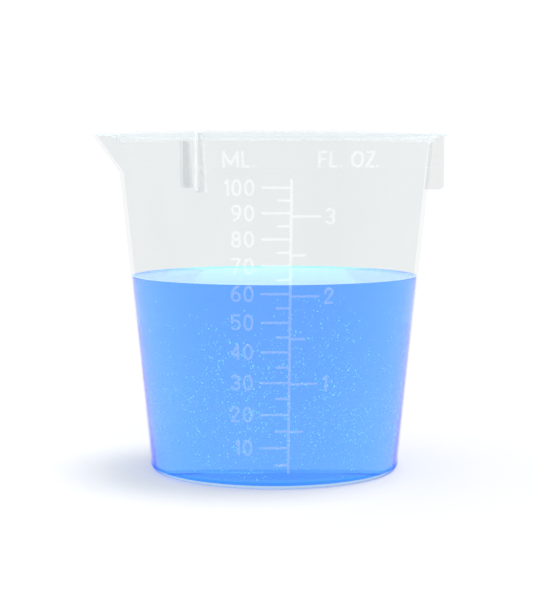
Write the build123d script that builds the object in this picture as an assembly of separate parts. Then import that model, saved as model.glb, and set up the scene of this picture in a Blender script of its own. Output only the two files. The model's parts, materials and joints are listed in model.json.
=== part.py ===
from build123d import *
import math
import os

# A graduated fuel sampler cup with a sample of fuel in it, in millimetres.
# The origin is on the cup's axis, at its underside. +Z is up, the pour spout points along -X
# and the scale faces -Y. The cup is one moulding, and each node is one moulded feature of it.
# The features meet face to face. Only the fuel is a piece of its own.

# Cup body
HEIGHT = 62.0
BASE_RADIUS = 23.0  # the wall's outer line, carried down to the underside
RIM_RADIUS = 29.25  # the same line at the top of the rim
WALL = 0.8  # measured along a radius
FLOOR = 1.3
FOOT_FILLET = 1.2

# Rim lip
LIP_WIDTH = 2.75  # from the wall's outer line to the edge of the lip
LIP_PLATE = 0.4  # thickness of the flat flange
LIP_DEPTH = 1.75  # from the top of the rim down to the foot of the cove
LIP_COVE_SETBACK = 0.3  # from the lip's edge in to where the cove starts
LIP_BEAD = 0.15  # step from the foot of the cove in to the wall

# Pour spout
SPOUT_LENGTH = 4.35  # from the wall's outer line to the spout's tip, at the top of the rim
SPOUT_DROP = 7.1  # from the top of the rim down to where the beak leaves the wall
SPOUT_NOSE = 1.3  # radius of the beak's nose
SPOUT_TUCK = 0.1  # how far inside the wall's skin the beak's sides end, at the rim
SPOUT_LIP = 0.2  # how far the lip stands out past the tip
PATCH_SIDE = 3.0  # degrees of plain wall on each side of the beak
PATCH_FOOT = 0.8  # plain wall under the beak

# Stacking lugs
LUG_ANGLES = {"right": 0.0, "back": 120.0, "front": 240.0}
LUG_DEPTH = 10.4  # from the top of the rim
LUG_THICKNESS = 0.75
LUG_SETBACK = 0.05  # behind the edge of the lip
LUG_CORNER = 1.1
LUG_EDGE = 0.15
LUG_BORDER = 0.55
LUG_FOOT_BORDER = 0.9
LUG_PANEL_DEPTH = 0.1

# Scale
RELIEF = 0.25  # how far the marks stand out from the wall
SCALE_ANGLE = 270.0
SPINE_WIDTH = 0.45
SPINE_OVERRUN = 1.5  # how far the spine runs past the first and the last mark
TICK_WIDTH = 0.4
LONG_TICK = 5.0  # from the middle of the spine
SHORT_ML_TICK = 2.4
SHORT_OZ_TICK = 2.6
ML_STEP = 5
ML_PER_FL_OZ = 29.5735
TOP_MARK_DROP = 9.0  # the least distance from the top of the rim to the last numbered mark

# Lettering
TEXT_HEIGHT = 2.8
DIGIT_WIDTH = 1.75
TEXT_STROKE = 0.38
TEXT_GAP = 0.45
WORD_GAP = 1.3
ML_TEXT_OFFSET = 6.2  # from the middle of the spine to the numbers' nearer edge
OZ_TEXT_OFFSET = 5.9
OZ_LABEL_OFFSET = 4.5
LABEL_DROP = 4.8  # from the top of the rim to the middle of the unit labels

# Fuel
FUEL_ML = 62.5
FUEL_CLEARANCE = 0.05

SLOPE = (RIM_RADIUS - BASE_RADIUS) / HEIGHT
LIP_RADIUS = RIM_RADIUS + LIP_WIDTH
SPOUT_REACH = RIM_RADIUS + SPOUT_LENGTH
PLATE_BOTTOM = HEIGHT - LIP_PLATE
OVERRUN = 2.0  # how far a cutting body runs past what it cuts


def outer_radius(z):
    """Outer radius of the plain wall at height z."""
    return BASE_RADIUS + SLOPE * z


def inner_radius(z):
    """Inner radius of the plain wall at height z."""
    return outer_radius(z) - WALL


def level_of(millilitres):
    """Height of the surface of a volume of liquid that stands in the cup."""
    floor_radius = inner_radius(FLOOR)
    cubed = floor_radius**3 + 3000.0 * SLOPE * millilitres / math.pi
    return FLOOR + (cubed ** (1 / 3) - floor_radius) / SLOPE


def frustum(low, high, radius_at):
    """Solid cone between two heights, whose radius at a height is radius_at(height)."""
    on_base = (Align.CENTER, Align.CENTER, Align.MIN)
    return Pos(0, 0, low) * Cone(radius_at(low), radius_at(high), high - low, align=on_base)


def ring(points):
    """Full turn of a closed outline of (radius, height) points."""
    outline = Plane.XZ * make_face(Polyline(*points, close=True))
    return revolve(outline, Axis.Z)


# Cup body and spout


def spout_outline(inset):
    """Plan of the beak: two sides that leave the wall almost at a tangent, and a round nose."""
    circle = RIM_RADIUS - SPOUT_TUCK - inset
    nose = SPOUT_NOSE - inset
    centre = SPOUT_REACH - SPOUT_NOSE
    lean = math.radians(beak_half_angle())
    side_x = -circle * math.cos(lean)
    side_y = circle * math.sin(lean)
    nose_x = -centre - nose * math.cos(lean)
    nose_y = nose * math.sin(lean)
    nose_arc = ThreePointArc((nose_x, nose_y), (-centre - nose, 0), (nose_x, -nose_y))
    sides = Polyline((nose_x, -nose_y), (side_x, -side_y), (side_x, side_y), (nose_x, nose_y))
    return make_face([nose_arc, sides])


def beak(inset, top):
    """Slanting prism of the beak, from a height at or over the rim down to inside the wall."""
    lean_in = (SPOUT_REACH - outer_radius(HEIGHT - SPOUT_DROP)) / SPOUT_DROP
    rise = top - HEIGHT
    fall = rise + SPOUT_DROP + OVERRUN
    section = Pos(-rise * lean_in, 0, top) * spout_outline(inset)
    return extrude(section, amount=fall * math.hypot(1, lean_in), dir=(lean_in, 0, -1))


def beak_half_angle():
    """Angle at the axis between the spout's middle and where its sides meet the rim."""
    return math.degrees(math.acos((RIM_RADIUS - SPOUT_TUCK - SPOUT_NOSE) / (SPOUT_REACH - SPOUT_NOSE)))


def outer_body():
    """Everything inside the outer skin of wall and beak, up to the top of the rim."""
    return frustum(0, HEIGHT, outer_radius) + beak(0, HEIGHT)


def inner_body():
    """The hollow of the cup and its spout, from the floor to past the rim."""
    return frustum(FLOOR, HEIGHT + OVERRUN, inner_radius) + beak(WALL, HEIGHT + OVERRUN)


def spout_patch():
    """Sector of the rim that belongs to the spout."""
    half = math.radians(beak_half_angle() + PATCH_SIDE)
    low = HEIGHT - SPOUT_DROP - PATCH_FOOT
    far = 2 * SPOUT_REACH
    end_x = -far * math.cos(half)
    end_y = far * math.sin(half)
    plan = make_face(Polyline((0, 0), (end_x, end_y), (end_x, -end_y), close=True))
    return extrude(Pos(0, 0, low) * plan, amount=PLATE_BOTTOM - low)


def cup_floor():
    """Floor disc with its rounded foot corner."""
    disc = frustum(0, FLOOR, outer_radius)
    foot = disc.edges().sort_by(Axis.Z)[0]
    return fillet(foot, min(FOOT_FILLET, 0.95 * FLOOR))


def side_shell(outside, inside):
    """Wall and beak together, from the floor to the underside of the lip."""
    band = Pos(0, 0, FLOOR) * Cylinder(
        2 * SPOUT_REACH, PLATE_BOTTOM - FLOOR, align=(Align.CENTER, Align.CENTER, Align.MIN)
    )
    return (outside - inside) & band


# Rim lip


def lip_cove():
    """Concave fillet under the flange, with a small step at its foot. It is let into the flange."""
    foot = HEIGHT - LIP_DEPTH
    start = (outer_radius(foot) + LIP_BEAD, foot)
    end = (LIP_RADIUS - LIP_COVE_SETBACK, PLATE_BOTTOM)
    width = end[0] - start[0]
    height = end[1] - start[1]
    middle = (start[0] + 0.27 * width, start[1] + 0.68 * height)
    top = HEIGHT - LIP_PLATE / 2
    back = [end, (end[0], top), (outer_radius(top), top), (outer_radius(foot), foot), start]
    edges = [ThreePointArc(start, middle, end), Polyline(*back)]
    return revolve(Plane.XZ * make_face(edges), Axis.Z)


def rim_lip(inside):
    """Flange round the rim and along the spout, with the cove under it."""
    centre = SPOUT_REACH + SPOUT_LIP - SPOUT_NOSE
    circles = [Circle(LIP_RADIUS).edge(), (Pos(-centre, 0) * Circle(SPOUT_NOSE)).edge()]
    plate = extrude(Pos(0, 0, PLATE_BOTTOM) * make_hull(circles), amount=LIP_PLATE)
    cove = lip_cove() - beak(0, HEIGHT)
    return (plate + cove) - inside


# Stacking lugs


def block(left, right, low):
    """Rectangle of a lug's side view, from a height up to the underside of the flange."""
    return make_face(
        Polyline((left, low), (right, low), (right, PLATE_BOTTOM), (left, PLATE_BOTTOM), close=True)
    )


def stacking_lug(angle, outside, lip):
    """Thin rib under the lip, with a shallow panel on each face inside a thicker border."""
    edge = LIP_RADIUS - LUG_SETBACK
    low = HEIGHT - LUG_DEPTH
    root = inner_radius(low)
    plan = block(root, edge, low)
    corner = plan.vertices().sort_by(Axis.X)[-2:].sort_by(Axis.Y)[0]
    blank = extrude(Plane.XZ * fillet(corner, LUG_CORNER), amount=LUG_THICKNESS / 2, both=True)
    free_edges = [e for e in blank.edges() if is_free_lug_edge(e, low, edge)]
    rib = fillet(free_edges, LUG_EDGE)
    panel = Plane.XZ * block(root, edge - LUG_BORDER, low + LUG_FOOT_BORDER)
    recess = extrude(panel, amount=LUG_PANEL_DEPTH, both=True)
    for side in (-1, 1):
        rib -= Pos(0, side * LUG_THICKNESS / 2, 0) * recess
    return Rot(0, 0, angle) * rib - outside - lip


def is_free_lug_edge(edge, low, outer):
    """True for the edges that run along the foot and the outer side of a lug's two faces."""
    middle = edge @ 0.5
    on_face = abs(abs(middle.Y) - LUG_THICKNESS / 2) < 0.01
    below_lip = middle.Z < PLATE_BOTTOM - 0.01
    beyond_wall = middle.X > inner_radius(low) + 0.01
    return on_face and below_lip and beyond_wall


# Scale


def arc_angle(length, z):
    """Angle at the axis of a length along the wall's outside."""
    return math.degrees(length / outer_radius(z))


def spine_half_angle():
    """Angle at the axis between the spine's middle and its edge, the same at every height."""
    return arc_angle(SPINE_WIDTH / 2, HEIGHT / 2)


def mark(start, end, low, high):
    """Raised bar on the wall between two angles from the middle of the spine, left being below 0."""
    outline = [
        (outer_radius(low), low),
        (outer_radius(low) + RELIEF, low),
        (outer_radius(high) + RELIEF, high),
        (outer_radius(high), high),
    ]
    bar = revolve(Plane.XZ * make_face(Polyline(*outline, close=True)), Axis.Z, end - start)
    return Rot(0, 0, SCALE_ANGLE + start) * bar


def tick(millilitres, length):
    """Mark at the height of a volume, to the left of the spine for a length below 0."""
    level = level_of(millilitres)
    near = math.copysign(spine_half_angle(), length)
    far = arc_angle(length, level)
    return mark(min(near, far), max(near, far), level - TICK_WIDTH / 2, level + TICK_WIDTH / 2)


def scale_spine():
    """Raised vertical line that the ticks of both scales start from."""
    half = spine_half_angle()
    foot = level_of(ML_STEP) - SPINE_OVERRUN
    return mark(-half, half, foot, level_of(ml_marks()[0][-1]) + SPINE_OVERRUN)


def last_number(step):
    """How many whole steps of volume have their mark low enough on the wall."""
    count = 1
    while level_of((count + 1) * step) <= HEIGHT - TOP_MARK_DROP:
        count += 1
    return count


def ml_marks():
    """Volumes of the long and the short ticks of the millilitre scale."""
    long_ones = [2 * ML_STEP * n for n in range(1, last_number(2 * ML_STEP) + 1)]
    return long_ones, [volume - ML_STEP for volume in long_ones]


def oz_marks():
    """Volumes of the long and the short ticks of the fluid ounce scale, in millilitres."""
    long_ones = [ML_PER_FL_OZ * n for n in range(1, last_number(ML_PER_FL_OZ) + 1)]
    return long_ones, [volume - ML_PER_FL_OZ / 2 for volume in long_ones]


# Lettering: each glyph is drawn with a round pen inside a cell of its width and TEXT_HEIGHT


def oval(centre, half_width, half_height):
    """Closed elliptical line."""
    return Pos(*centre) * Ellipse(half_width, half_height).edge()


def pen(*lines):
    """Face of strokes along lines, with round ends and corners."""
    nib = TEXT_STROKE / 2
    strokes = [trace(line, TEXT_STROKE) for line in lines]
    edges = [edge for line in lines for edge in line.edges()]
    dots = [Pos(*point) * Circle(nib) for edge in edges for point in (edge @ 0, edge @ 1)]
    face = Sketch() + strokes + dots
    return Pos(nib, nib) * face


def glyph(symbol):
    """Face and width of one symbol, with its lower left corner at the origin."""
    width = DIGIT_WIDTH - TEXT_STROKE
    height = TEXT_HEIGHT - TEXT_STROKE
    half = width / 2
    middle = height / 2
    quarter = height / 4
    shapes = {
        "0": lambda: [oval((half, middle), half, middle)],
        "1": lambda: [
            Line((0.3 * width, 0), (0.3 * width, height)),
            Line((0.3 * width, height), (0, 0.8 * height)),
        ],
        "2": lambda: [
            ThreePointArc((0, height - half), (half, height), (width, height - half)),
            Line((width, height - half), (0, 0)),
            Line((0, 0), (width, 0)),
        ],
        "3": lambda: [
            ThreePointArc((0.1 * width, height - 0.4 * half), (half, height), (width, height - quarter)),
            ThreePointArc(
                (width, height - quarter), (0.82 * width, middle + 0.3 * quarter), (half, middle)
            ),
            ThreePointArc((half, middle), (width, quarter), (half, 0)),
            ThreePointArc((half, 0), (0.25 * width, 0.15 * half), (0, 0.5 * half)),
        ],
        "4": lambda: [
            Line((0.8 * width, 0), (0.8 * width, height)),
            Line((0.8 * width, height), (0, 0.3 * height)),
            Line((0, 0.3 * height), (width, 0.3 * height)),
        ],
        "5": lambda: [
            Line((width, height), (0.1 * width, height)),
            Line((0.1 * width, height), (0, middle)),
            ThreePointArc((0, middle), (width, 0.3 * height), (0, 0.5 * quarter)),
        ],
        "6": lambda: [
            CenterArc((half, half), half, 0, 360),
            ThreePointArc((0, half), (0.2 * width, 0.75 * height), (0.8 * width, height)),
        ],
        "7": lambda: [Line((0, height), (width, height)), Line((width, height), (0.25 * width, 0))],
        "8": lambda: [
            oval((half, quarter), half, quarter),
            oval((half, height - quarter), 0.85 * half, quarter),
        ],
        "9": lambda: [
            CenterArc((half, height - half), half, 0, 360),
            ThreePointArc((width, height - half), (0.8 * width, 0.25 * height), (0.2 * width, 0)),
        ],
        "F": lambda: [
            Line((0, 0), (0, height)),
            Line((0, height), (0.85 * width, height)),
            Line((0, middle), (0.7 * width, middle)),
        ],
        "L": lambda: [Line((0, height), (0, 0)), Line((0, 0), (0.75 * width, 0))],
        "M": lambda: [
            Line((0, 0), (0, height)),
            Line((0, height), (0.9 * width, 0.15 * height)),
            Line((0.9 * width, 0.15 * height), (1.8 * width, height)),
            Line((1.8 * width, height), (1.8 * width, 0)),
        ],
        "O": lambda: [oval((0.77 * width, middle), 0.77 * width, middle)],
        "Z": lambda: [
            Line((0, height), (1.1 * width, height)),
            Line((1.1 * width, height), (0, 0)),
            Line((0, 0), (1.1 * width, 0)),
        ],
        ".": lambda: [Line((0, 0), (0, 0.02))],
    }
    face = pen(*shapes[symbol]())
    return face, face.bounding_box().max.X


def lettering(text, offset, z, relief):
    """Raised text round the wall, centred on height z. It starts at offset from the spine's
    middle, or ends there if offset is below 0."""
    glyphs = [None if symbol == " " else glyph(symbol) for symbol in text]
    widths = [WORD_GAP - TEXT_GAP if g is None else g[1] for g in glyphs]
    start = offset
    if offset < 0:
        start -= sum(widths) + TEXT_GAP * (len(text) - 1)
    solids = []
    for g, width in zip(glyphs, widths):
        if g is not None:
            angle = math.radians(SCALE_ANGLE + arc_angle(start + width / 2, z))
            outward = (math.cos(angle), math.sin(angle), 0)
            along = (-math.sin(angle), math.cos(angle), 0)
            wall = Plane(origin=(0, 0, z - TEXT_HEIGHT / 2), x_dir=along, z_dir=outward)
            face = wall * Pos(-width / 2, 0, inner_radius(0)) * g[0]
            solids += (extrude(face, amount=RIM_RADIUS) & relief).solids()
        start += width + TEXT_GAP
    return solids


def relief_shell():
    """Thin skin over the plain wall, as deep as the raised marks."""
    return ring(
        [
            (outer_radius(0), 0),
            (outer_radius(0) + RELIEF, 0),
            (outer_radius(HEIGHT) + RELIEF, HEIGHT),
            (outer_radius(HEIGHT), HEIGHT),
        ]
    )


# Fuel


def fuel_sample():
    """Fuel in the bottom of the cup, a hair clear of its wall and floor."""
    return frustum(
        FLOOR + FUEL_CLEARANCE, level_of(FUEL_ML), lambda z: inner_radius(z) - FUEL_CLEARANCE
    )


def build():
    """All nodes by name, each a shape or a list of separate solids."""
    outside = outer_body()
    inside = inner_body()
    shell = side_shell(outside, inside)
    patch = spout_patch()
    lip = rim_lip(inside)
    relief = relief_shell()
    label_z = HEIGHT - LABEL_DROP
    ml_long, ml_short = ml_marks()
    oz_long, oz_short = oz_marks()
    nodes = {
        "cup_floor": cup_floor(),
        "cup_wall": shell - patch,
        "pour_spout": shell & patch,
        "rim_lip": lip,
        "scale_spine": scale_spine(),
        "ml_ticks_long": [tick(v, -LONG_TICK) for v in ml_long],
        "ml_ticks_short": [tick(v, -SHORT_ML_TICK) for v in ml_short],
        "fl_oz_ticks_long": [tick(v, LONG_TICK) for v in oz_long],
        "fl_oz_ticks_short": [tick(v, SHORT_OZ_TICK) for v in oz_short],
        "ml_numerals": [
            s for v in ml_long for s in lettering(str(v), -ML_TEXT_OFFSET, level_of(v), relief)
        ],
        "fl_oz_numerals": [
            s
            for ounce, v in enumerate(oz_long, start=1)
            for s in lettering(str(ounce), OZ_TEXT_OFFSET, level_of(v), relief)
        ],
        "ml_unit_label": lettering("ML.", -ML_TEXT_OFFSET, label_z, relief),
        "fl_oz_unit_label": lettering("FL. OZ.", OZ_LABEL_OFFSET, label_z, relief),
        "fuel_sample": fuel_sample(),
    }
    for place, angle in LUG_ANGLES.items():
        nodes[f"stacking_lug_{place}"] = stacking_lug(angle, outside, lip)
    return nodes


def write(nodes):
    """One STEP file per node."""
    os.makedirs("parts", exist_ok=True)
    for name, shape in nodes.items():
        solids = shape if isinstance(shape, list) else shape.solids()
        solids = [s for item in solids for s in item.solids()]
        export_step(solids[0] if len(solids) == 1 else Compound(children=solids), f"parts/{name}.step")


write(build())
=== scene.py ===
"""Looks of a graduated fuel sampler cup and of the blue fuel that stands in it.

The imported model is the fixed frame, in metres, with the cup's axis on Z, the pour spout towards
-X and the scale towards -Y. The moulding keeps its CAD nodes, which are given their finishes here.
The fuel is modelled again with its meniscus, and the air bubbles that cling in it are added.
"""

import json
import logging
import math
import random
from dataclasses import dataclass
from enum import Enum
from typing import Callable

import bpy
from mathutils import Matrix, Vector


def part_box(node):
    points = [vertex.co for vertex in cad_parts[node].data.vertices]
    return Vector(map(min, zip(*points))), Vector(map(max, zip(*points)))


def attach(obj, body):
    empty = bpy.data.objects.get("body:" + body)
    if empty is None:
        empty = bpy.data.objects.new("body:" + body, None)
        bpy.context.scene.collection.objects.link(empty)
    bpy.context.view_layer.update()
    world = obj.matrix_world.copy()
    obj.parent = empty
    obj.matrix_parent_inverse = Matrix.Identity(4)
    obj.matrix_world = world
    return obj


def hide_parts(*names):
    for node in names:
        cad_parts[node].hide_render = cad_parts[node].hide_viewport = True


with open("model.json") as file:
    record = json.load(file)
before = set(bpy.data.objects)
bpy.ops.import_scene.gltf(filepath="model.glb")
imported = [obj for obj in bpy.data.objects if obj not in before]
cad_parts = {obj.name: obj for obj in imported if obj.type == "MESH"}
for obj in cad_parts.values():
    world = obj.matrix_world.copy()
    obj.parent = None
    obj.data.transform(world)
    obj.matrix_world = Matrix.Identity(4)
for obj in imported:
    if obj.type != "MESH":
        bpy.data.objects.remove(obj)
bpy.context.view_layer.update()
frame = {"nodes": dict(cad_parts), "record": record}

logging.basicConfig(level=logging.INFO, format="%(name)s: %(message)s")
log = logging.getLogger("sampler_cup")

Colour = tuple[float, float, float]
Value = bpy.types.NodeSocket | float | tuple[float, float, float, float]
BODY = "root"
WHITE = (1.0, 1.0, 1.0, 1.0)
NEVER = 2.0  # a cosine that no direction reaches


class Slot(Enum):
    """Material slots of the record."""

    PLASTIC = "natural_polypropylene"
    MARKS = "raised_marks"
    FUEL = "blue_fuel"


class Part(Enum):
    """Parts of a mesh that can be selected."""

    EDGE = "EDGE"
    FACE = "FACE"


class PaintedGlowPlace(Enum):
    """Where a plastic is given a painted glow, an emission standing in for the light that scatters in it."""

    ALL_OVER = "all over"
    OUTER_EDGE = "outer edge"
    ABOVE_FUEL = "above fuel"


# Modelling


def deselect() -> None:
    """Leaves edit mode and deselects every object."""
    if bpy.context.object and bpy.context.object.mode == "EDIT":
        bpy.ops.object.mode_set(mode="OBJECT")
    bpy.ops.object.select_all(action="DESELECT")


def select_parts(piece: bpy.types.Object, chosen: Callable[[Vector], bool], part: Part) -> None:
    """Selects the faces or edges whose middle passes a test, and goes into edit mode.

    Args:
        piece: The active mesh object, at the origin.
        chosen: Test of a face's or an edge's middle point.
        part: Which of the two are selected.
    """
    bpy.ops.object.mode_set(mode="EDIT")
    bpy.ops.mesh.select_mode(type=part.value)
    bpy.ops.mesh.select_all(action="DESELECT")
    bpy.ops.object.mode_set(mode="OBJECT")
    mesh = piece.data
    if part is Part.FACE:
        for face in mesh.polygons:
            face.select = chosen(face.center)
    else:
        for edge in mesh.edges:
            low, high = (mesh.vertices[index].co for index in edge.vertices)
            edge.select = chosen((low + high) / 2)
    bpy.ops.object.mode_set(mode="EDIT")


def settle(piece: bpy.types.Object, name: str, material: bpy.types.Material) -> None:
    """Puts a finished piece's place into its mesh, names and dresses it, and ties it to the cup.

    Args:
        piece: The finished mesh object.
        name: Its name.
        material: Its finish.
    """
    deselect()
    piece.select_set(True)
    bpy.context.view_layer.objects.active = piece
    bpy.ops.object.transform_apply(location=True, rotation=True, scale=True)
    bpy.ops.object.shade_smooth_by_angle(angle=math.radians(40))
    piece.name = name
    piece.data.name = name
    piece.data.materials.clear()
    piece.data.materials.append(material)
    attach(piece, BODY)
    log.info("%s: %d faces", name, len(piece.data.polygons))


# Shader nodes


def new_material(name: str) -> tuple[bpy.types.Material, bpy.types.ShaderNode]:
    """Makes a material that uses nodes.

    Args:
        name: Its name.

    Returns:
        The material and its Principled shader.
    """
    material = bpy.data.materials.new(name)
    material.use_nodes = True
    return material, material.node_tree.nodes["Principled BSDF"]


def rgba(colour: Colour) -> tuple[float, float, float, float]:
    """A colour with full alpha."""
    return (*colour, 1.0)


def feed(tree: bpy.types.NodeTree, socket: bpy.types.NodeSocket, value: Value) -> None:
    """Gives a socket its value.

    Args:
        tree: The nodes that the socket belongs to.
        socket: The socket.
        value: Another node's output, which is linked, or a plain value.
    """
    if isinstance(value, bpy.types.NodeSocket):
        tree.links.new(value, socket)
    else:
        socket.default_value = value


def calculate(
    tree: bpy.types.NodeTree, operation: str, first: Value, second: Value = 0.0, clamp: bool = False
) -> bpy.types.NodeSocket:
    """Adds a Math node.

    Args:
        tree: The nodes to add it to.
        operation: What it does.
        first: Its first value.
        second: Its second value, where it has one.
        clamp: Whether the result is kept between 0 and 1.

    Returns:
        Its result.
    """
    node = tree.nodes.new("ShaderNodeMath")
    node.operation = operation
    node.use_clamp = clamp
    feed(tree, node.inputs[0], first)
    feed(tree, node.inputs[1], second)
    return node.outputs["Value"]


def span(tree: bpy.types.NodeTree, value: Value, low: float, high: float) -> bpy.types.NodeSocket:
    """Share of the way that a value has gone from one number to another, between 0 and 1.

    Args:
        tree: The nodes to add it to.
        value: The value.
        low: Where the share is 0.
        high: Where the share is 1.

    Returns:
        The share.
    """
    node = tree.nodes.new("ShaderNodeMapRange")
    feed(tree, node.inputs["Value"], value)
    node.inputs["From Min"].default_value = low
    node.inputs["From Max"].default_value = high
    return node.outputs["Result"]


def blend(tree: bpy.types.NodeTree, share: Value, first: Value, second: Value) -> bpy.types.NodeSocket:
    """Mixes two colours.

    Args:
        tree: The nodes to add it to.
        share: How much of the second colour is taken.
        first: The first colour.
        second: The second colour.

    Returns:
        The mixed colour.
    """
    node = tree.nodes.new("ShaderNodeMix")
    node.data_type = "RGBA"
    colours = [socket for socket in node.inputs if socket.type == "RGBA"]
    feed(tree, node.inputs[0], share)
    feed(tree, colours[0], first)
    feed(tree, colours[1], second)
    return next(socket for socket in node.outputs if socket.type == "RGBA")


def object_point(tree: bpy.types.NodeTree) -> bpy.types.NodeSocket:
    """The shaded point in the object's own coordinates, in metres."""
    return tree.nodes.new("ShaderNodeTexCoord").outputs["Object"]


def height_of(tree: bpy.types.NodeTree, vector: bpy.types.NodeSocket) -> bpy.types.NodeSocket:
    """Takes the Z part of a vector.

    Args:
        tree: The nodes to add it to.
        vector: The vector.

    Returns:
        Its Z part.
    """
    node = tree.nodes.new("ShaderNodeSeparateXYZ")
    tree.links.new(vector, node.inputs["Vector"])
    return node.outputs["Z"]


def speckled(tree: bpy.types.NodeTree, scale: float, first: Colour, second: Colour) -> bpy.types.NodeSocket:
    """Two colours that drift into each other in soft patches.

    Args:
        tree: The material's nodes.
        scale: Patches to the metre.
        first: Colour of one kind of patch.
        second: Colour of the other kind.

    Returns:
        The colour.
    """
    patches = tree.nodes.new("ShaderNodeTexNoise")
    patches.inputs["Scale"].default_value = scale
    tree.links.new(object_point(tree), patches.inputs["Vector"])
    return blend(tree, span(tree, patches.outputs["Fac"], 0.4, 0.6), rgba(first), rgba(second))


# Finishes


@dataclass(frozen=True)
class Joints:
    """Which faces of a feature are joined to the rest of the moulding, and so have no skin.

    A face is joined if the cosine between its normal and a direction is over the number given for
    that direction. Faces that look inwards, at the cup's axis, count only below a height.
    """

    up: float = NEVER
    down: float = NEVER
    sideways: float = NEVER
    inwards: float = NEVER
    below: float = 1.0


class MouldedSurface:
    """Shader group of a moulded skin: slow clouds of haze, fine unevenness, and no inner seams."""

    name: str = "moulded_surface"
    cloud_stretch: Colour = (1.0, 1.0, 0.45)
    edge_share: float = -0.6

    def make(self) -> bpy.types.NodeTree:
        """Builds the group once.

        Returns:
            The group, with inputs Clear, Hazy, Cloud Scale, Grain Scale and those of the joints, and
            outputs Colour, Height, Skin and Edge. Skin is 0 on a joined face, 1 elsewhere. Edge is 1
            on a face that looks away from the cup's axis, 0 elsewhere; it marks where the lugs get their
            painted glow.
        """
        if self.name in bpy.data.node_groups:
            return bpy.data.node_groups[self.name]
        group = bpy.data.node_groups.new(self.name, "ShaderNodeTree")
        for label in ("Clear", "Hazy"):
            group.interface.new_socket(label, in_out="INPUT", socket_type="NodeSocketColor")
        for label in ("Cloud Scale", "Grain Scale", "Up", "Down", "Sideways", "Inwards", "Below"):
            group.interface.new_socket(label, in_out="INPUT", socket_type="NodeSocketFloat")
        group.interface.new_socket("Colour", in_out="OUTPUT", socket_type="NodeSocketColor")
        for label in ("Height", "Skin", "Edge"):
            group.interface.new_socket(label, in_out="OUTPUT", socket_type="NodeSocketFloat")
        given = group.nodes.new("NodeGroupInput").outputs
        result = group.nodes.new("NodeGroupOutput").inputs
        place = object_point(group)
        stretch = group.nodes.new("ShaderNodeMapping")
        stretch.inputs["Scale"].default_value = self.cloud_stretch
        group.links.new(place, stretch.inputs["Vector"])
        clouds = group.nodes.new("ShaderNodeTexNoise")
        clouds.inputs["Detail"].default_value = 3.0
        clouds.inputs["Distortion"].default_value = 0.6
        group.links.new(stretch.outputs["Vector"], clouds.inputs["Vector"])
        group.links.new(given["Cloud Scale"], clouds.inputs["Scale"])
        haze = span(group, clouds.outputs["Fac"], 0.35, 0.68)
        group.links.new(blend(group, haze, given["Clear"], given["Hazy"]), result["Colour"])
        grain = group.nodes.new("ShaderNodeTexNoise")
        grain.inputs["Detail"].default_value = 2.0
        group.links.new(place, grain.inputs["Vector"])
        group.links.new(given["Grain Scale"], grain.inputs["Scale"])
        group.links.new(grain.outputs["Fac"], result["Height"])
        looks = self.looks(group, place)
        joined = self.joined(group, looks, height_of(group, place), given)
        group.links.new(calculate(group, "SUBTRACT", 1.0, joined), result["Skin"])
        # Edge: the outward-looking faces, where the lugs get a painted highlight.
        group.links.new(calculate(group, "LESS_THAN", looks["Inwards"], self.edge_share), result["Edge"])
        return group

    def looks(
        self, group: bpy.types.NodeTree, place: bpy.types.NodeSocket
    ) -> dict[str, bpy.types.NodeSocket]:
        """How far the shaded face looks in each of four directions.

        Args:
            group: The group to build in.
            place: The shaded point.

        Returns:
            The cosine between its normal and each direction.
        """
        normal = group.nodes.new("ShaderNodeNewGeometry").outputs["True Normal"]
        around = group.nodes.new("ShaderNodeVectorMath")
        around.operation = "CROSS_PRODUCT"
        around.inputs[0].default_value = (0.0, 0.0, 1.0)
        group.links.new(place, around.inputs[1])
        to_axis = group.nodes.new("ShaderNodeVectorMath")
        to_axis.operation = "MULTIPLY"
        to_axis.inputs[1].default_value = (-1.0, -1.0, 0.0)
        group.links.new(place, to_axis.inputs[0])
        up = height_of(group, normal)
        return {
            "Up": up,
            "Down": calculate(group, "MULTIPLY", up, -1.0),
            "Sideways": calculate(group, "ABSOLUTE", self.cosine(group, normal, around.outputs["Vector"])),
            "Inwards": self.cosine(group, normal, to_axis.outputs["Vector"]),
        }

    def cosine(
        self, group: bpy.types.NodeTree, normal: bpy.types.NodeSocket, direction: bpy.types.NodeSocket
    ) -> bpy.types.NodeSocket:
        """Cosine between a face's normal and a direction.

        Args:
            group: The group to build in.
            normal: The face's normal.
            direction: The direction, of any length.

        Returns:
            The cosine.
        """
        unit = group.nodes.new("ShaderNodeVectorMath")
        unit.operation = "NORMALIZE"
        group.links.new(direction, unit.inputs[0])
        dot = group.nodes.new("ShaderNodeVectorMath")
        dot.operation = "DOT_PRODUCT"
        group.links.new(normal, dot.inputs[0])
        group.links.new(unit.outputs["Vector"], dot.inputs[1])
        return dot.outputs["Value"]

    def joined(
        self,
        group: bpy.types.NodeTree,
        looks: dict[str, bpy.types.NodeSocket],
        height: bpy.types.NodeSocket,
        given: bpy.types.NodeOutputs,
    ) -> bpy.types.NodeSocket:
        """Mask of the joined faces.

        Args:
            group: The group to build in.
            looks: How far the face looks in each direction.
            height: The shaded point's height.
            given: The group's inputs.

        Returns:
            The mask: 1 on a joined face, 0 elsewhere.
        """
        masks = {name: calculate(group, "GREATER_THAN", look, given[name]) for name, look in looks.items()}
        low_down = calculate(group, "LESS_THAN", height, given["Below"])
        whole = calculate(group, "MULTIPLY", masks.pop("Inwards"), low_down)
        for mask in masks.values():
            whole = calculate(group, "MAXIMUM", whole, mask)
        return whole


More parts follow.
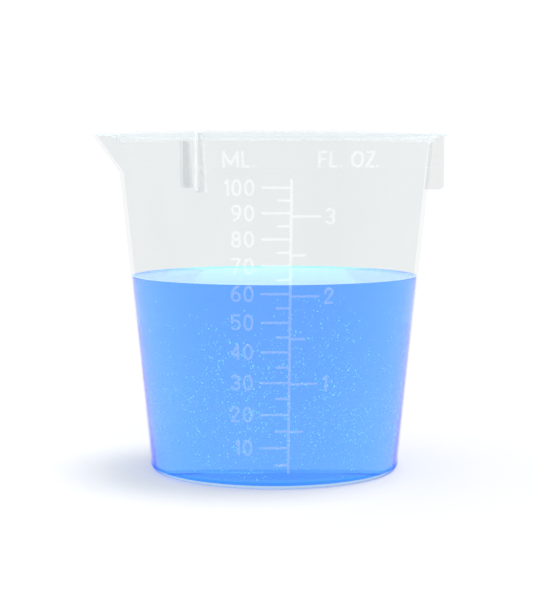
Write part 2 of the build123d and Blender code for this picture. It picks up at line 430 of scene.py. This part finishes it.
@dataclass(frozen=True)
class Moulding:
    """See-through moulded polypropylene."""

    name: str
    clear: Colour
    hazy: Colour
    joints: Joints = Joints(up=0.97, down=0.97, sideways=0.97)
    transmission: float = 1.0
    # Painted glow: an emission that lightens the plastic though it is no lamp, and where it is laid.
    painted_glow: float = 0.0
    painted_glow_place: PaintedGlowPlace = PaintedGlowPlace.ALL_OVER
    ior: float = 1.0
    roughness: float = 0.05
    coat: float = 0.06
    coat_roughness: float = 0.03
    coat_ior: float = 1.49
    cloud_scale: float = 55.0
    grain_scale: float = 260.0
    grain_depth: float = 0.00002
    grain_strength: float = 0.1
    # Colour of the marks' painted glow under the fuel, and the height over which it turns white.
    painted_glow_under_fuel: Colour = (0.1, 0.14, 0.18)
    painted_glow_fade: float = 0.001

    def make(self) -> bpy.types.Material:
        """Makes the finish.

        Returns:
            The material. Its Alpha leaves out the joined faces.
        """
        material, shader = new_material(self.name)
        tree = material.node_tree
        skin = tree.nodes.new("ShaderNodeGroup")
        skin.node_tree = MouldedSurface().make()
        given = {
            "Clear": rgba(self.clear),
            "Hazy": rgba(self.hazy),
            "Cloud Scale": self.cloud_scale,
            "Grain Scale": self.grain_scale,
            "Up": self.joints.up,
            "Down": self.joints.down,
            "Sideways": self.joints.sideways,
            "Inwards": self.joints.inwards,
            "Below": self.joints.below,
        }
        for label, value in given.items():
            skin.inputs[label].default_value = value
        bump = tree.nodes.new("ShaderNodeBump")
        bump.inputs["Strength"].default_value = self.grain_strength
        bump.inputs["Distance"].default_value = self.grain_depth
        tree.links.new(skin.outputs["Height"], bump.inputs["Height"])
        tree.links.new(bump.outputs["Normal"], shader.inputs["Normal"])
        tree.links.new(skin.outputs["Colour"], shader.inputs["Base Color"])
        tree.links.new(skin.outputs["Skin"], shader.inputs["Alpha"])
        shader.inputs["Transmission Weight"].default_value = self.transmission
        shader.inputs["IOR"].default_value = self.ior
        shader.inputs["Roughness"].default_value = self.roughness
        shader.inputs["Coat Weight"].default_value = self.coat
        shader.inputs["Coat Roughness"].default_value = self.coat_roughness
        shader.inputs["Coat IOR"].default_value = self.coat_ior
        # Painted glow: an emission standing in for the light that scatters in the plastic.
        shader.inputs["Emission Strength"].default_value = self.painted_glow
        feed(tree, shader.inputs["Emission Color"], self.painted_glow_colour(tree, skin))
        return material

    def painted_glow_colour(self, tree: bpy.types.NodeTree, skin: bpy.types.ShaderNode) -> Value:
        """Colour of the painted glow over the surface.

        Args:
            tree: The material's nodes.
            skin: The moulded surface's group in it.

        Returns:
            The colour, or its output.
        """
        # Painted highlight: the glow only on faces that look away from the cup's axis.
        if self.painted_glow_place is PaintedGlowPlace.OUTER_EDGE:
            return skin.outputs["Edge"]
        # Painted light: white glowing strokes above the fuel, a dim blue-grey glow under it.
        if self.painted_glow_place is PaintedGlowPlace.ABOVE_FUEL:
            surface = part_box("fuel_sample")[1][2]
            height = height_of(tree, object_point(tree))
            clear_of_it = span(tree, height, surface - self.painted_glow_fade, surface + self.painted_glow_fade)
            return blend(tree, clear_of_it, rgba(self.painted_glow_under_fuel), WHITE)
        return WHITE


@dataclass(frozen=True)
class DyedFuel:
    """Clear liquid fuel, dyed blue."""

    name: str = "blue_fuel"
    skin: Colour = (0.36, 1.0, 1.0)
    cloudy_skin: Colour = (0.34, 0.985, 1.0)
    cloud_scale: float = 90.0
    dye: Colour = (0.0, 0.05, 0.99)
    density: float = 16.0
    ior: float = 1.4
    # Painted glow all over, the painted reflection on the upper surface, and the normal heights that mark
    # that surface.
    painted_glow: Colour = (0.0, 0.0, 0.14)
    painted_surface_reflection: Colour = (0.02, 0.24, 0.18)
    painted_reflection_span: tuple[float, float] = (0.8, 0.95)

    def make(self) -> bpy.types.Material:
        """Makes the finish.

        Returns:
            The material, with a faint painted blue glow all over, and a greener glow on the fuel's upper
            surface seen from outside, which is a painted reflection.
        """
        material, shader = new_material(self.name)
        tree = material.node_tree
        colour = speckled(tree, self.cloud_scale, self.skin, self.cloudy_skin)
        tree.links.new(colour, shader.inputs["Base Color"])
        shader.inputs["Transmission Weight"].default_value = 1.0
        shader.inputs["IOR"].default_value = self.ior
        shader.inputs["Roughness"].default_value = 0.0
        # Painted light: the fuel glows faint blue though it is no lamp.
        shader.inputs["Emission Strength"].default_value = 1.0
        # Its upper surface, seen from outside, glows greener: a painted reflection.
        shape = tree.nodes.new("ShaderNodeNewGeometry").outputs
        upwards = span(tree, height_of(tree, shape["Normal"]), *self.painted_reflection_span)
        surface = calculate(tree, "SUBTRACT", upwards, shape["Backfacing"], clamp=True)
        painted_glow = blend(tree, surface, rgba(self.painted_glow), rgba(self.painted_surface_reflection))
        tree.links.new(painted_glow, shader.inputs["Emission Color"])
        absorb = tree.nodes.new("ShaderNodeVolumeAbsorption")
        absorb.inputs["Color"].default_value = rgba(self.dye)
        absorb.inputs["Density"].default_value = self.density
        tree.links.new(absorb.outputs["Volume"], tree.nodes["Material Output"].inputs["Volume"])
        return material


@dataclass(frozen=True)
class Air:
    """Air in the fuel, seen as pale specks: their pale colour and glow are painted glints."""

    name: str = "air_bubble"
    painted_glint_bright: Colour = (0.62, 0.88, 1.0)
    painted_glint_dim: Colour = (0.42, 0.74, 1.0)
    patch_scale: float = 700.0
    roughness: float = 0.25
    painted_glow: float = 0.4

    def make(self) -> bpy.types.Material:
        """Makes the finish.

        Returns:
            The material.
        """
        material, shader = new_material(self.name)
        # Painted glints: the bubbles' pale colour, which also glows.
        painted_glint = speckled(material.node_tree, self.patch_scale, self.painted_glint_dim, self.painted_glint_bright)
        material.node_tree.links.new(painted_glint, shader.inputs["Base Color"])
        material.node_tree.links.new(painted_glint, shader.inputs["Emission Color"])
        shader.inputs["Roughness"].default_value = self.roughness
        shader.inputs["Emission Strength"].default_value = self.painted_glow
        return material


# Stage


@dataclass
class Studio:
    """Pale floor, soft light and the camera. Lengths are in metres, angles in degrees."""

    distance: float = 0.2995
    height: float = 0.0564
    azimuth: float = -5.8
    tilt_down: float = 4.973
    lens: float = 95.5
    shift: float = -0.013
    floor_size: float = 40.0
    floor_colour: Colour = (0.5, 0.5, 0.5)
    floor_glow: float = 0.28
    sky: float = 1.05
    sun: float = 1.6
    sun_width: float = 34.0
    sun_lean: tuple[float, float] = (-7.0, 18.0)
    bounces: int = 32

    def camera(self) -> None:
        """Stands the camera in front of the scale, a little to the spout's side."""
        data = bpy.data.cameras.new("camera")
        data.lens = self.lens
        data.shift_x = self.shift
        data.clip_start = 0.01
        camera = bpy.data.objects.new("camera", data)
        bpy.context.scene.collection.objects.link(camera)
        turn = math.radians(self.azimuth)
        camera.location = (self.distance * math.sin(turn), -self.distance * math.cos(turn), self.height)
        camera.rotation_euler = (math.radians(90 - self.tilt_down), 0, turn)
        bpy.context.scene.camera = camera

    def floor(self) -> None:
        """Lays a plain pale floor."""
        deselect()
        bpy.ops.mesh.primitive_plane_add(size=self.floor_size)
        floor = bpy.context.object
        floor.name = "floor"
        material, shader = new_material("floor_paper")
        shader.inputs["Base Color"].default_value = rgba(self.floor_colour)
        shader.inputs["Roughness"].default_value = 1.0
        shader.inputs["Specular IOR Level"].default_value = 0.0
        shader.inputs["Emission Color"].default_value = WHITE
        shader.inputs["Emission Strength"].default_value = self.floor_glow
        floor.data.materials.append(material)

    def light(self) -> None:
        """Lights the floor evenly and throws one soft shadow to the spout's side."""
        world = bpy.data.worlds.new("studio")
        world.use_nodes = True
        world.node_tree.nodes["Background"].inputs["Color"].default_value = WHITE
        world.node_tree.nodes["Background"].inputs["Strength"].default_value = self.sky
        bpy.context.scene.world = world
        sun = bpy.data.lights.new("sun", "SUN")
        sun.energy = self.sun
        sun.angle = math.radians(self.sun_width)
        lamp = bpy.data.objects.new("sun", sun)
        lamp.rotation_euler = (math.radians(self.sun_lean[0]), math.radians(self.sun_lean[1]), 0)
        bpy.context.scene.collection.objects.link(lamp)

    def build(self) -> None:
        """Builds the whole stage, and lets light pass through every wall of the cup."""
        self.camera()
        self.floor()
        self.light()
        scene = bpy.context.scene
        scene.view_settings.view_transform = "Standard"
        scene.cycles.max_bounces = self.bounces
        scene.cycles.transmission_bounces = self.bounces
        scene.cycles.glossy_bounces = self.bounces
        scene.cycles.transparent_max_bounces = 2 * self.bounces
        scene.cycles.use_denoising = True
        log.info("stage: %.1f m floor", self.floor_size)


# Cup


@dataclass
class CupMoulding:
    """The one-piece moulding: its CAD nodes keep their shape and get their finishes."""

    wall: Moulding = Moulding("thin_polypropylene", (0.893, 0.911, 0.914), (0.878, 0.893, 0.896))
    # The floor's blue is painted light: the fuel's colour seen through the plastic, put into its own colour.
    base: Moulding = Moulding(
        "base_polypropylene_painted_fuel_blue", (0.35, 0.61, 0.98), (0.32, 0.58, 0.97), joints=Joints(up=0.97)
    )
    lip: Moulding = Moulding(
        "lip_polypropylene",
        (0.93, 0.942, 0.944),
        (0.91, 0.924, 0.927),
        joints=Joints(inwards=0.5, below=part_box("cup_wall")[1][2]),
        transmission=0.6,
    )
    # The lugs get a painted highlight: a white glow on their outward-looking faces.
    lug: Moulding = Moulding(
        "lug_polypropylene",
        (0.845, 0.848, 0.849),
        (0.825, 0.829, 0.831),
        joints=Joints(up=0.3, inwards=0.3),
        transmission=0.85,
        painted_glow=0.16,
        painted_glow_place=PaintedGlowPlace.OUTER_EDGE,
    )
    # The marks get a painted glow: light strokes above the fuel, a dim glow under it.
    marks: Moulding = Moulding(
        "raised_marks",
        (0.98, 0.985, 0.99),
        (0.96, 0.97, 0.975),
        joints=Joints(inwards=0.5),
        transmission=0.93,
        painted_glow=0.05,
        painted_glow_place=PaintedGlowPlace.ABOVE_FUEL,
    )

    def build(self) -> None:
        """Dresses every node of the moulding."""
        wall, base, lip, lug, marks = (
            finish.make() for finish in (self.wall, self.base, self.lip, self.lug, self.marks)
        )
        by_node = {"cup_floor": base, "rim_lip": lip}
        for part in frame["record"]["subparts"]:
            if part["material_slot"] == Slot.FUEL.value:
                continue
            if part["material_slot"] == Slot.MARKS.value:
                material = marks
            elif part["node"].startswith("stacking_lug"):
                material = lug
            else:
                material = by_node.get(part["node"], wall)
            node = frame["nodes"][part["node"]]
            node.visible_shadow = False
            for slot in node.material_slots:
                slot.material = material
            log.info("%s: %s", part["node"], material.name)


# Fuel


@dataclass
class FuelSample:
    """Fuel that wets the wall, with its meniscus, and the air bubbles that cling in it.

    Lengths are in metres, and angles in degrees round the axis from the scale's side.
    """

    segments: int = 224
    wetting: float = 0.0006
    sink: float = 0.0007
    foot_round: float = 0.00012
    rise: float = 0.0003
    reach: float = 0.0011
    steps: tuple[float, ...] = (0.0002, 0.0003, 0.0005, 0.0008, 0.0014, 0.0026)
    bubbles: int = 2000
    seed: int = 11
    sizes: tuple[float, ...] = (0.00006, 0.00008, 0.0001, 0.00012, 0.00015)
    flatness: float = 0.8
    swarm_share: float = 0.55
    swarm_spread: tuple[float, float] = (7.0, 0.0035)
    lone_angle: float = 75.0
    lone_heights: tuple[float, float, float] = (0.002, 0.033, 0.01)
    clear_of_foot: float = 0.001
    clear_of_surface: float = 0.002

    def corners(self) -> tuple[float, float, float, float]:
        """Reads the fuel's four sizes off its CAD solid.

        Returns:
            Foot radius, surface radius, foot height with its sinking, and surface height.
        """
        low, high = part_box("fuel_sample")
        points = [v.co for v in frame["nodes"]["fuel_sample"].data.vertices]
        foot = max(math.hypot(p.x, p.y) for p in points if p.z < low[2] + 1e-5)
        return foot, high[0], low[2] - self.sink, high[2]

    def body(self, material: bpy.types.Material) -> None:
        """Models the fuel: a cone frustum whose surface climbs the wall at its edge.

        Args:
            material: Its finish.
        """
        foot, top, low, high = self.corners()
        deselect()
        bpy.ops.mesh.primitive_cone_add(
            vertices=self.segments,
            radius1=foot + self.wetting,
            radius2=top + self.wetting,
            depth=high + self.rise - low,
            location=(0, 0, (low + high + self.rise) / 2),
        )
        piece = bpy.context.object
        bpy.ops.object.transform_apply(location=True, rotation=True, scale=True)
        select_parts(piece, lambda middle: middle.z < low + 1e-6, Part.EDGE)
        bpy.ops.mesh.bevel(offset=self.foot_round, segments=2, affect="EDGES")
        select_parts(piece, lambda middle: middle.z > high + self.rise - 1e-6, Part.FACE)
        travelled = 0.0
        for step in self.steps:
            before = self.rise * math.exp(-travelled / self.reach)
            travelled += step
            drop = before - self.rise * math.exp(-travelled / self.reach)
            bpy.ops.mesh.inset(thickness=step)
            bpy.ops.transform.translate(value=(0, 0, -drop))
        bpy.ops.object.mode_set(mode="OBJECT")
        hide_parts("fuel_sample")
        settle(piece, "fuel_with_meniscus", material)

    def swarms(self) -> list[tuple[float, float]]:
        """Crowds of bubbles, side by side round the scale and at shuffled heights.

        Returns:
            Angle and height of the middle of each crowd.
        """
        return [(-15 + 6 * n, 0.006 + 0.0023 * (n * 7 % 11)) for n in range(-4, 9)]

    def places(self) -> list[tuple[float, float, float]]:
        """Scatters the bubbles: crowded near the scale and low down.

        Returns:
            Angle in radians, height and radius of each bubble.
        """
        _, _, low, high = self.corners()
        chance = random.Random(self.seed)
        swarms = self.swarms()
        found = []
        while len(found) < self.bubbles:
            if chance.random() < self.swarm_share:
                angle, height = chance.choice(swarms)
                angle += chance.gauss(0, self.swarm_spread[0])
                height += chance.gauss(0, self.swarm_spread[1])
            else:
                angle = chance.uniform(-self.lone_angle, self.lone_angle)
                height = chance.triangular(*self.lone_heights)
            size = chance.choice(self.sizes)
            if low + self.clear_of_foot < height < high - self.clear_of_surface:
                found.append((math.radians(angle), height, size))
        return found

    def air(self, material: bpy.types.Material) -> None:
        """Models small round bubbles against the inside of the front wall, as one piece.

        Args:
            material: Their finish.
        """
        foot, top, low, high = self.corners()
        deselect()
        bpy.ops.mesh.primitive_ico_sphere_add(subdivisions=1, radius=1.0)
        pattern = bpy.context.object
        bpy.ops.object.mode_set(mode="EDIT")
        bpy.ops.mesh.select_all(action="SELECT")
        bpy.ops.transform.resize(value=(1.0, self.flatness, 1.0), center_override=(0, 0, 0))
        bpy.ops.object.mode_set(mode="OBJECT")
        pieces = []
        for angle, height, size in self.places():
            radius = foot + (top - foot) * (height - low) / (high - low) - size
            place = (radius * math.sin(angle), -radius * math.cos(angle), height)
            mesh = pattern.data.copy()
            mesh.transform(Matrix.Translation(place) @ Matrix.Rotation(angle, 4, "Z") @ Matrix.Scale(size, 4))
            pieces.append(bpy.data.objects.new("bubble", mesh))
            bpy.context.scene.collection.objects.link(pieces[-1])
        bpy.data.objects.remove(pattern)
        deselect()
        for piece in pieces:
            piece.select_set(True)
        bpy.context.view_layer.objects.active = pieces[0]
        bpy.ops.object.join()
        settle(pieces[0], "air_bubbles", material)

    def build(self) -> None:
        """Builds the fuel and its bubbles."""
        self.body(DyedFuel().make())
        self.air(Air().make())


def main() -> None:
    """Builds and dresses everything in order."""
    Studio().build()
    CupMoulding().build()
    FuelSample().build()


if __name__ == "__main__":
    main()
